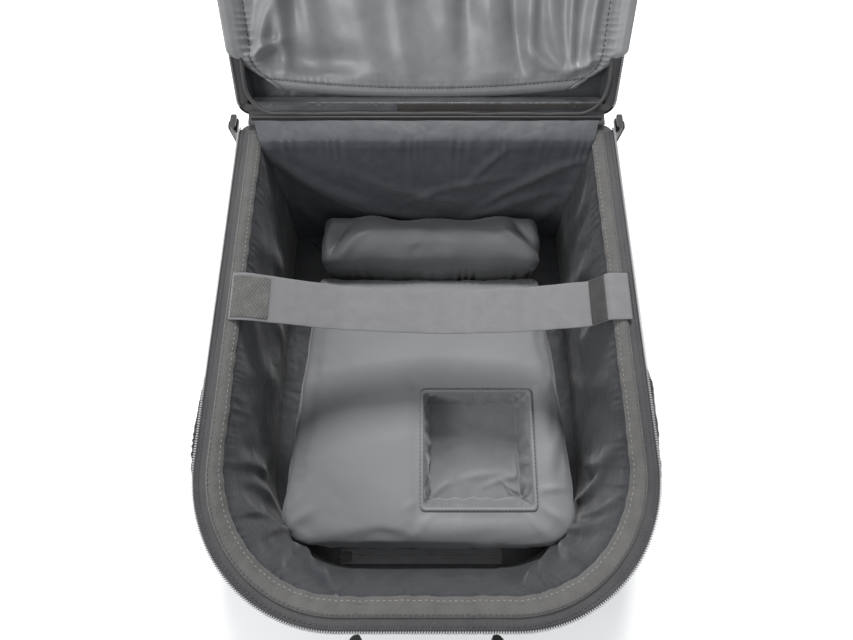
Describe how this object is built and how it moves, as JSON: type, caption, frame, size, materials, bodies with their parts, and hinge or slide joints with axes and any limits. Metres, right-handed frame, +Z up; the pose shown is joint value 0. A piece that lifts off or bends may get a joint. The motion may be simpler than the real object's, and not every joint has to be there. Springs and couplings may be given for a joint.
{
  "type": "drone carrying case",
  "caption": "Padded soft case with a zipped, hinged lid, a hook-and-loop retaining strap and a removable floor pad with a square recess, for carrying a small drone.",
  "frame": {"origin": "middle of the flat bottom face of the base", "axes": "+Z up out of the open tray, +Y towards the lid hinge, +X to the right seen from the front handle"},
  "size_m": [0.386, 0.7492, 0.4485],
  "materials": {
    "shell_fabric": "coated woven nylon, dark charcoal",
    "side_lining": "dark grey satin nylon",
    "pad_satin": "mid grey satin nylon",
    "foam": "soft closed foam",
    "board": "stiff sheet",
    "zipper_tape": "woven zipper tape",
    "zipper_coil": "nylon coil, pale grey",
    "loop_pile": "brushed loop pile",
    "hook_tape": "hook tape",
    "webbing": "grey woven webbing",
    "binding": "grosgrain binding",
    "slider_metal": "black painted zinc",
    "piping_cord": "black piping",
    "grip": "soft moulded grip"
  },
  "bodies": {
    "base": {"bottom_panel": "shell_fabric", "outer_cover": "shell_fabric", "bottom_piping": "piping_cord", "floor_foam": "foam", "floor_lining": "side_lining", "left_wall_foam": "foam", "left_lining": "side_lining", "right_wall_foam": "foam", "right_lining": "side_lining", "front_wall_foam": "foam", "front_lining": "side_lining", "back_wall_foam": "foam", "back_wedge_foam": "foam", "back_lining": "side_lining", "base_zipper_tape": "zipper_tape", "base_zipper_coil": "zipper_coil", "rim_loop_band": "loop_pile", "back_rim_binding": "binding", "hinge_bead": "binding", "floor_zipper_tape": "zipper_tape", "floor_zipper_coil": "zipper_coil", "side_pocket_left": "shell_fabric", "side_pocket_right": "shell_fabric", "pocket_binding_left": "binding", "pocket_binding_right": "binding", "handle_tabs": "binding"},
    "lid": {"lid_zipper_coil": "zipper_coil", "lid_zipper_tape": "zipper_tape", "lid_gusset": "shell_fabric", "lid_wall_foam": "foam", "lid_top_foam": "foam", "lid_top_cover": "shell_fabric", "lid_board": "board", "lid_lining": "side_lining", "lid_pocket_panel": "pad_satin", "lid_binding": "binding", "lid_hook_strip": "hook_tape", "lid_piping": "piping_cord"},
    "strap": {"strap": "webbing", "strap_hook_patch": "hook_tape"},
    "insert": {"floor_board": "board", "floor_pad": "pad_satin", "recess_lining": "pad_satin", "bolster": "pad_satin"},
    "handle": {"carry_handle": "binding", "handle_grip": "grip"},
    "zip_slider_left": {"slider_left": "slider_metal"},
    "zip_slider_right": {"slider_right": "slider_metal"},
    "zip_pull_left": {"pull_left": "slider_metal"},
    "zip_pull_right": {"pull_right": "slider_metal"},
    "floor_slider": {"floor_zipper_slider": "slider_metal"}
  },
  "joints": [
    {"name": "lid_hinge", "type": "hinge", "parent": "base", "child": "lid", "pos_m": [0, 0.2015, 0.1608], "axis": [-1, 0, 0], "range_deg": [-134, 38]},
    {"name": "strap_hinge", "type": "hinge", "parent": "base", "child": "strap", "pos_m": [0.1575, 0.0375, 0.1582], "axis": [0, 1, 0], "range_deg": [0, 112]},
    {"name": "insert_lift", "type": "slide", "parent": "base", "child": "insert", "axis": [0, 0, 1], "range_m": [0, 0.045]},
    {"name": "handle_swing", "type": "hinge", "parent": "base", "child": "handle", "pos_m": [0, -0.212, 0.118], "axis": [-1, 0, 0], "range_deg": [0, 80]},
    {"name": "left_slider_travel", "type": "slide", "parent": "base", "child": "zip_slider_left", "axis": [-0.015, -0.9999, 0], "range_m": [0, 0.25]},
    {"name": "right_slider_travel", "type": "slide", "parent": "base", "child": "zip_slider_right", "axis": [0.015, -0.9999, 0], "range_m": [0, 0.25]},
    {"name": "left_pull_swing", "type": "hinge", "parent": "zip_slider_left", "child": "zip_pull_left", "pos_m": [-0.17293, 0.19812, 0.1554], "axis": [0.015, 0.9999, 0], "range_deg": [-12, 105]},
    {"name": "right_pull_swing", "type": "hinge", "parent": "zip_slider_right", "child": "zip_pull_right", "pos_m": [0.17293, 0.19812, 0.1554], "axis": [0.015, -0.9999, 0], "range_deg": [-12, 105]},
    {"name": "floor_slider_travel", "type": "slide", "parent": "base", "child": "floor_slider", "axis": [1, 0, 0], "range_m": [0, 0.138]}
  ]
}
